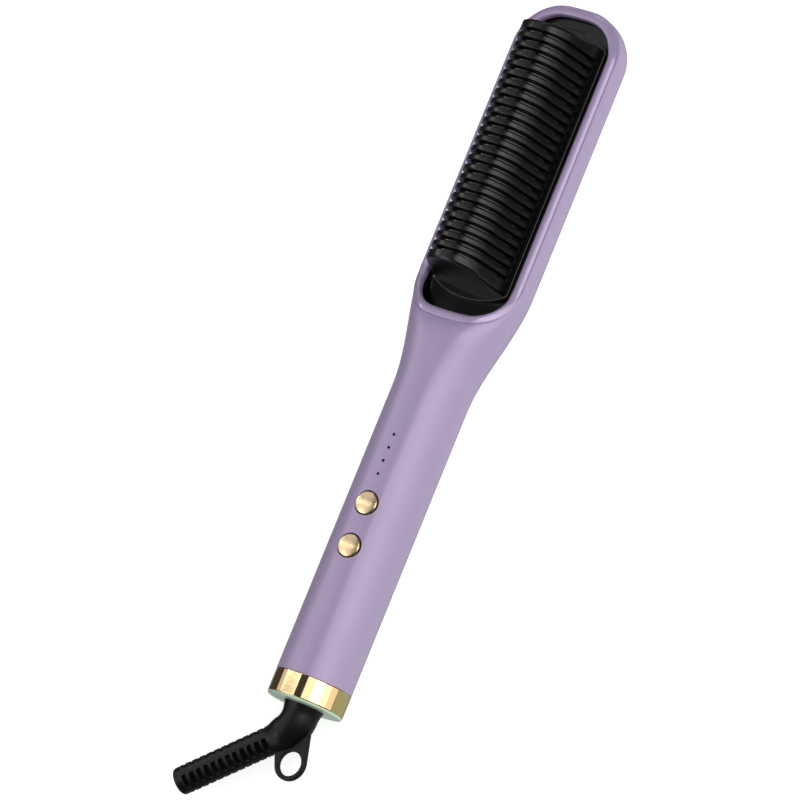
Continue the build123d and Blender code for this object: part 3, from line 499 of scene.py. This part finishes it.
def bowed_plan(half, ends, bulges, corners, steps=CORNER_STEPS):
    """Outline with bowed ends: points and the angles of their outward normals, anticlockwise."""
    runs = []
    for end, bulge, corner, side in zip(ends, bulges, corners, (-1, 1)):
        bow_r = (half ** 2 + bulge ** 2) / (2 * bulge)
        rise = math.sqrt((bow_r - corner) ** 2 - (half - corner) ** 2)
        bow_y = end - side * bow_r
        meet = math.atan2(rise, half - corner)
        quarter = []
        for i in range(steps + 1):
            turn = meet * i / steps
            quarter.append((half - corner + corner * math.cos(turn), rise + corner * math.sin(turn), turn))
        for i in range(1, 2 * steps + 1):
            turn = meet + (math.pi / 2 - meet) * i / (2 * steps)
            quarter.append((bow_r * math.cos(turn), bow_r * math.sin(turn), turn))
        run = quarter + [(-x, y, math.pi - turn) for x, y, turn in quarter[-2::-1]]
        if side < 0:
            run = [(x, -y, -turn) for x, y, turn in run[::-1]]
        runs.append([(x, bow_y + y, turn) for x, y, turn in run])
    low, high = runs
    length = high[0][1] - low[-1][1]
    right = [(half, low[-1][1] + length * i / SIDE_STEPS, 0.0) for i in range(1, SIDE_STEPS)]
    left = [(-half, high[-1][1] - length * i / SIDE_STEPS, math.pi) for i in range(1, SIDE_STEPS)]
    return low + right + high + left


def comb_span(length):
    """Two places that far apart, about the comb's middle."""
    return COMB_MIDDLE - length / 2, COMB_MIDDLE + length / 2


def comb_base(form):
    """Bowed base plate with an open middle."""
    ends = comb_span(PLATE_LENGTH)
    outer = bowed_plan(PLATE_HALF_WIDTH, ends, (PLATE_BULGE, PLATE_BULGE), (PLATE_CORNER, PLATE_CORNER))
    low, high = comb_span(COMB_LENGTH - END_BLOCK)
    half = arch_path(BAR_DEPTH, PLATE_Z)[0][0][0]
    inner = [(max(-half, min(half, x)), max(low, min(high, y))) for x, y, _ in outer]
    form.skin([
        [(x, y, TRAY_FLOOR_Z) for x, y, _ in outer], [(x, y, PLATE_Z) for x, y, _ in outer],
        [(x, y, PLATE_Z) for x, y in inner], [(x, y, TRAY_FLOOR_Z) for x, y in inner],
    ], loop=True)


def comb_rail(form, side):
    """Rail that the bars stand on, from end block to end block."""
    foot_z = PLATE_Z - RAIL_SINK
    section = []
    for inset, low_z in ((0, foot_z), (0, SLOT_BOTTOM_Z), (BAR_DEPTH, SLOT_BOTTOM_Z), (BAR_DEPTH, foot_z)):
        section.append((side * arch_path(inset, low_z)[0][0][0], low_z))
    form.skin([[(x, y, z) for x, z in section] for y in comb_span(COMB_LENGTH - END_BLOCK)])


def make_comb():
    """Bars, end blocks and base plate in one piece, and the heater's core and fins in another."""
    arches, blocks, base = Form(), Form(), Form()
    for y in comb_rows(BAR_COUNT):
        arched_bar(arches, y, BAR_WIDTH, 0, BAR_DEPTH, PLATE_Z)
    for side in (-1, 1):
        end_block(blocks, side)
        comb_rail(blocks, side)
    comb_base(base)
    parts = (arches, BAR_ROUND, 4), (blocks, EDGE_ROUND, 3), (base, EDGE_ROUND, 3)
    nylon = LOOKS["black_gloss"]
    make_piece("comb_arches", "comb_guard", *parts, looks=[nylon, nylon, TRAY_LOOK])
    fins = Form()
    core = [(x, z) for (x, z), _ in arch_path(CORE_INSET, CORE_Z)]
    fins.skin([[(x, y, z) for x, z in core] for y in comb_span(COMB_LENGTH - 2 * END_BLOCK)])
    for y in comb_rows(BAR_COUNT + 1):
        arched_bar(fins, y, FIN_WIDTH, FIN_DROP, CORE_INSET - FIN_DROP + FIN_SINK, SLOT_BOTTOM_Z)
    make_piece("heater_fins", "heater_comb", (fins, FIN_ROUND, 2))


# ---------------------------------------------------------------- lip
def body_half(y):
    """Half the body's width at y."""
    return HANDLE_R + (HEAD_HALF_WIDTH - HANDLE_R) * ease(y, *FLARE)


def surface_z(x, y):
    """Height of the body's front at x and y."""
    top = HANDLE_R + (RIM_Z - HANDLE_R) * ease(y, *SLOPE)
    front = HANDLE_R + (RIM_ROUND - HANDLE_R) * ease(y, *SLOPE)
    beside = min(max(abs(x) - (body_half(y) - front), 0.0), front)
    return top - front + math.sqrt(front ** 2 - beside ** 2)


def make_lip():
    """Rounded bead round the opening, which follows the body's front and stays inside the head's sides."""
    outline = bowed_plan(OPENING_HALF_WIDTH, OPENING, OPENING_BULGES, OPENING_CORNERS, LIP_CORNER_STEPS)
    rings = []
    for out, up in LIP_SECTION:
        ring = []
        for x, y, turn in outline:
            px, py = x + out * math.cos(turn), y + out * math.sin(turn)
            half = body_half(py) - LIP_SIDE_GAP
            px = max(-half, min(half, px))
            ring.append((px, py, surface_z(px, py) + up))
        rings.append(ring)
    lip = Form()
    lip.skin(rings, loop=True)
    make_piece("lip_bead", "face_trim", (lip, 0, 0))


# ---------------------------------------------------------------- buttons
def make_buttons():
    """Gold crown and dark flange and stem of each cap."""
    crown_z = HANDLE_R + CAP_RISE
    dome_r = (CAP_R ** 2 + CAP_DOME ** 2) / (2 * CAP_DOME)
    profile = []
    for i in range(DOME_STEPS + 1):
        r = DOME_TIP_R + (CAP_CROWN_R - CAP_ROUND - DOME_TIP_R) * i / DOME_STEPS
        profile.append((r, crown_z - dome_r + math.sqrt(dome_r ** 2 - r ** 2)))
    edge_r, edge_z = profile[-1]
    for i in range(1, CAP_ROUND_STEPS + 1):
        turn = math.pi / 2 * i / CAP_ROUND_STEPS
        profile.append((edge_r + CAP_ROUND * math.sin(turn), edge_z - CAP_ROUND * (1 - math.cos(turn))))
    profile += [(CAP_CROWN_R, FLANGE_TOP_Z), (DOME_TIP_R, FLANGE_TOP_Z)]
    low_z = FLANGE_TOP_Z - CAP_FLANGE
    flange = [
        (DOME_TIP_R, FLANGE_TOP_Z), (CAP_FLANGE_R, FLANGE_TOP_Z), (CAP_FLANGE_R, low_z), (CAP_STEM_R, low_z),
        (CAP_STEM_R, PLUNGER_TOP_Z), (DOME_TIP_R, PLUNGER_TOP_Z),
    ]
    looks = [CAP_LOOK, LOOKS["black_nylon"]]
    for node, y in BUTTON_PLACES.items():
        crown, collar = Form(), Form()
        crown.turned(profile, y)
        collar.turned(flange, y)
        make_piece(node + "_cap", node, (crown, 0, 0), (collar, 0, 0), looks=looks)


# ---------------------------------------------------------------- cord guard and hanging loop
def leaned(x, y, z):
    """A point of the bend's plane, turned to the side that the guard leans to."""
    c, s = math.cos(GUARD_AZIMUTH), math.sin(GUARD_AZIMUTH)
    return (x * c - z * s, y, x * s + z * c)


def guard_line(at):
    """Centre and bend angle at a distance past the elbow's corner; in the neck it is negative."""
    if at >= ELBOW_TANGENT:
        return (at * math.sin(ELBOW_BEND), ELBOW_CORNER_Y - at * math.cos(ELBOW_BEND)), ELBOW_BEND
    if at <= -ELBOW_TANGENT:
        return (0.0, ELBOW_CORNER_Y - at), 0.0
    turn = ELBOW_BEND * (at + ELBOW_TANGENT) / (2 * ELBOW_TANGENT)
    start_y = ELBOW_CORNER_Y + ELBOW_TANGENT
    return (ELBOW_RADIUS * (1 - math.cos(turn)), start_y - ELBOW_RADIUS * math.sin(turn)), turn


def guard_radius(at):
    """Outside radius at a distance past the elbow's corner: neck, elbow, then a sleeve that narrows."""
    if at < 0:
        return ELBOW_R + (NECK_R - ELBOW_R) * ease(-at, ELBOW_TANGENT, -ELBOW_CORNER_Y)
    share = max(at - SLEEVE_LENGTH, 0.0) / (GUARD_REACH - SLEEVE_LENGTH)
    sleeve_r = SLEEVE_END_R + (TIP_R - SLEEVE_END_R) * share
    past_elbow = ease(at, ELBOW_TANGENT - SLEEVE_BLEND, SLEEVE_LENGTH + SLEEVE_BLEND)
    return sleeve_r + (ELBOW_R - SLEEVE_END_R) * (1 - past_elbow)


def ribbed_radius(at, turn):
    """Outside radius at a place on the ribbed length, with its pockets pressed in and rims round them."""
    radius = guard_radius(at)
    place = (at - SLEEVE_LENGTH - POCKET_START - POCKET_LENGTH / 2) / POCKET_PITCH
    nearest = min(max(round(place), 0), POCKET_COUNT - 1)
    along = abs(place - nearest) * POCKET_PITCH
    step = 2 * math.pi / RIB_ROWS
    off = (turn - RIB_ROW_TURN + step / 2) % step - step / 2
    across = abs(radius * math.sin(off))
    past = [max(v - (half - POCKET_ROUND), 0) for v, half in zip((along, across), POCKET_HALVES)]
    distance = math.hypot(*past) - POCKET_ROUND
    floor = min(POCKET_FLOOR_R / math.cos(off), radius)
    sunk = 1 - ease(distance, -POCKET_WALL, 0)
    rim = POCKET_RIM * (1 - ease(abs(distance - POCKET_WALL / 2), 0, POCKET_WALL))
    return radius + (floor - radius) * sunk + rim * (1 - sunk)


def guard_ring(at, radius_of):
    """One ring of points round the guard, with the radius that radius_of gives for each turn."""
    (x, y), bend = guard_line(at)
    ring = []
    for i in range(GUARD_SIDES):
        turn = 2 * math.pi * i / GUARD_SIDES
        radius = radius_of(turn)
        out, up = radius * math.cos(turn), radius * math.sin(turn)
        ring.append(leaned(x + out * math.cos(bend), y + out * math.sin(bend), up))
    return ring


def steps_between(low, high, count):
    """Equally spaced numbers from low up to high, without high itself."""
    return [low + (high - low) * i / count for i in range(count)]


def make_guard():
    """Neck, elbow and ribbed sleeve in one skin that turns in at the tip and runs back up the bore."""
    tip_start = GUARD_REACH - TIP_ROUND
    neck_top = ELBOW_CORNER_Y - NECK_TOP_Y
    plain = [(at, guard_radius(at)) for at in steps_between(neck_top, SLEEVE_LENGTH, NECK_STEPS)]
    rings = [guard_ring(at, lambda _, r=radius: r) for at, radius in plain]
    for at in steps_between(SLEEVE_LENGTH, tip_start, RIB_STEPS) + [tip_start]:
        rings.append(guard_ring(at, lambda turn, at=at: ribbed_radius(at, turn)))
    turns = [math.pi / 2 * i / TIP_STEPS for i in range(1, TIP_STEPS + 1)]
    plain = [(tip_start + TIP_ROUND * math.sin(t), TIP_R - TIP_ROUND * (1 - math.cos(t))) for t in turns]
    plain += [(GUARD_REACH, GUARD_BORE_R + BORE_ROUND), (GUARD_REACH - BORE_ROUND, GUARD_BORE_R)]
    plain.append((SLEEVE_LENGTH, GUARD_BORE_R))
    rings += [guard_ring(at, lambda _, r=radius: r) for at, radius in plain]
    guard = Form()
    guard.skin(rings)
    make_piece("guard_sleeve", "cord_guard", (guard, 0, 0))


def make_loop():
    """Flat tab: the hull of its round end and its two roots, with a round hole."""
    reach = ELBOW_R - WEB_NECK_DEPTH
    bend_cos, bend_sin = math.cos(ELBOW_BEND), math.sin(ELBOW_BEND)
    sleeve_x = WEB_SLEEVE_AT * bend_sin - reach * bend_cos
    sleeve_y = ELBOW_CORNER_Y - WEB_SLEEVE_AT * bend_cos - reach * bend_sin
    loop_x, loop_y = LOOP_PLACE
    rounds = [
        (0.0, 0.0, LOOP_OUTER_R), (-reach - loop_x, ELBOW_CORNER_Y + WEB_NECK_RISE - loop_y, WEB_ROOT_R),
        (sleeve_x - loop_x, sleeve_y - loop_y, WEB_ROOT_R),
    ]
    supports = []
    for i in range(HULL_STEPS):
        facing = 2 * math.pi * i / HULL_STEPS
        supports.append((facing, max(x * math.cos(facing) + y * math.sin(facing) + r for x, y, r in rounds)))
    outer, inner = [], []
    for i in range(LOOP_SIDES):
        turn = 2 * math.pi * i / LOOP_SIDES
        slants = [(math.cos(turn - facing), support) for facing, support in supports]
        edge = min(support / slant for slant, support in slants if slant > LEAST_COSINE)
        for ring, radius in ((outer, edge), (inner, LOOP_HOLE_R)):
            ring.append((loop_x + radius * math.cos(turn), loop_y + radius * math.sin(turn)))
    half = LOOP_THICKNESS / 2
    tab = Form()
    tab.skin([[leaned(x, y, z) for x, y in ring] for ring, z in (
        (outer, -half), (outer, half), (inner, half), (inner, -half),
    )], loop=True)
    make_piece("loop_tab", "hanging_loop", (tab, LOOP_ROUND, 3))


make_comb()
make_lip()
make_buttons()
make_guard()
make_loop()


# ---------------------------------------------------------------- stage and light
def make_floor():
    """Pale paper floor, lifted to white by a little light of its own."""
    mesh = bpy.data.meshes.new("floor")
    corners = [(x * FLOOR_HALF, y * FLOOR_HALF, 0) for x, y in ((-1, -1), (1, -1), (1, 1), (-1, 1))]
    mesh.from_pydata(corners, [], [(0, 1, 2, 3)])
    floor = bpy.data.objects.new("floor", mesh)
    n = Nodes("floor_paper")
    tone = n.blend(n.noise(3.0), (0.90, 0.90, 0.90), (0.92, 0.92, 0.92))
    n.put(Base_Color=tone, Roughness=0.9, Specular_IOR_Level=0.1)
    n.put(Emission_Color=(1.0, 1.0, 1.0), Emission_Strength=0.62)
    mesh.materials.append(n.material)
    floor.visible_glossy = False
    bpy.context.scene.collection.objects.link(floor)


def softbox(name, size, radiance, colour=(1.0, 1.0, 1.0)):
    """Rectangular area light of that size and brightness, which the camera doesn't see."""
    data = bpy.data.lights.new(name, "AREA")
    data.shape = "RECTANGLE"
    data.size, data.size_y = size
    data.energy = radiance * math.pi * size[0] * size[1]
    data.color = colour
    lamp = bpy.data.objects.new(name, data)
    lamp.visible_camera = False
    bpy.context.scene.collection.objects.link(lamp)
    return lamp


def strip_light(name, low, high, radiance, colour, start, end, glossy=True):
    """Softbox beside the handle, between two angles from +Z towards +X and two places along y."""
    middle, half = math.radians((low + high) / 2), math.radians((high - low) / 2)
    lamp = softbox(name, (2 * LIGHT_REACH * math.tan(half), end - start), radiance, colour)
    away = Vector((math.sin(middle), 0, math.cos(middle)))
    side = Vector((math.cos(middle), 0, -math.sin(middle)))
    place = Matrix((side, Vector((0, 1, 0)), away)).transposed().to_4x4()
    place.translation = Vector((0, (start + end) / 2, HANDLE_R / 1000)) + away * LIGHT_REACH
    lamp.matrix_world = place
    lamp.visible_glossy = glossy


def small_lamp(name, direction, radiance, size, target, reach=LIGHT_REACH, diffuse=True):
    """Small softbox in a direction from a point of the object."""
    lamp = softbox(name, size, radiance)
    away = Vector(direction).normalized()
    place = away.to_track_quat("Z", "Y").to_matrix().to_4x4()
    place.translation = Vector(target) + away * reach
    lamp.matrix_world = place
    lamp.visible_diffuse = diffuse


def make_world():
    """Dim even room, a touch green below the horizon and a touch pink above it."""
    world = bpy.data.worlds.new("studio")
    bpy.context.scene.world = world
    world.use_nodes = True
    tree = world.node_tree
    back = tree.nodes["Background"]
    coords = tree.nodes.new("ShaderNodeTexCoord")
    split = tree.nodes.new("ShaderNodeSeparateXYZ")
    ramp = tree.nodes.new("ShaderNodeValToRGB")
    tree.links.new(coords.outputs["Generated"], split.inputs["Vector"])
    tree.links.new(split.outputs["Z"], ramp.inputs["Fac"])
    low, high = ramp.color_ramp.elements
    low.position, low.color = 0.0, (0.05, 0.055, 0.05, 1.0)
    high.position, high.color = 0.06, (0.05, 0.045, 0.05, 1.0)
    tree.links.new(ramp.outputs["Color"], back.inputs["Color"])
    back.inputs["Strength"].default_value = 1.0


def make_lights():
    """Softboxes round the handle's axis, and small ones for the glints."""
    strip_light("right_edge", 10, 34, 1.3, (1.0, 0.985, 0.95), *NEAR)
    strip_light("right_high", 34, 64, 2.8, (1.0, 0.985, 0.95), *NEAR)
    strip_light("right_low", 64, 86, 1.5, (1.0, 0.985, 0.93), *NEAR)
    strip_light("right_skirt", 86, 108, 0.95, (1.0, 0.92, 0.85), *NEAR)
    strip_light("right_sweep", 109, 178, 0.36, (0.85, 1.0, 0.78), ROOM[0], NEAR[1])
    strip_light("comb_high", 12, 34, 3.4, (1.0, 1.0, 1.0), *FAR)
    strip_light("comb_middle", 34, 62, 1.5, (1.0, 1.0, 0.98), *FAR)
    strip_light("comb_low", 62, 92, 0.7, (1.0, 1.0, 0.96), *FAR)
    strip_light("comb_skirt", 92, 118, 0.12, (0.96, 1.0, 0.94), *FAR)
    strip_light("comb_sweep", 138, 178, 0.55, (1.0, 1.0, 1.0), FAR[0], ROOM[1])
    strip_light("left_handle", -76, -12.5, 0.62, (1.0, 0.99, 0.98), ROOM[0], 0.06)
    strip_light("cap_light", -60, -12.5, 1.5, (1.0, 0.98, 0.95), -0.06, 0.125)
    strip_light("left_tip", -60, -12.5, 0.6, (0.97, 0.98, 1.0), 0.28, 1.2)
    strip_light("left_sweep", -178, -122, 0.3, (0.97, 1.0, 0.96), *ROOM)
    strip_light("fill_right", 14, 84, 0.55, (1.0, 0.99, 0.96), *ROOM, glossy=False)
    small_lamp("bead_lamp", (-0.881, 0.156, 0.446), 7.0, (0.2, 0.2), (0.0, 0.0, 0.044))
    small_lamp("edge_lamp", (-0.27, 0.88, 0.38), 4.0, (0.3, 0.3), (0.0, 0.05, 0.04))
    small_lamp("front_lamp", (-0.45, -0.85, 0.22), 1.2, (1.2, 0.7), (0.0, -0.1, 0.02), reach=2.0)
    small_lamp("slope_lamp", (-0.487, -0.527, 0.71), 1.6, (0.9, 0.7), (0.0, -0.06, 0.02), diffuse=False)


make_floor()
make_world()
make_lights()

# ---------------------------------------------------------------- view and the end
view = bpy.context.scene.view_settings
view.view_transform = "Standard"
view.look = "None"

bpy.context.view_layer.update()
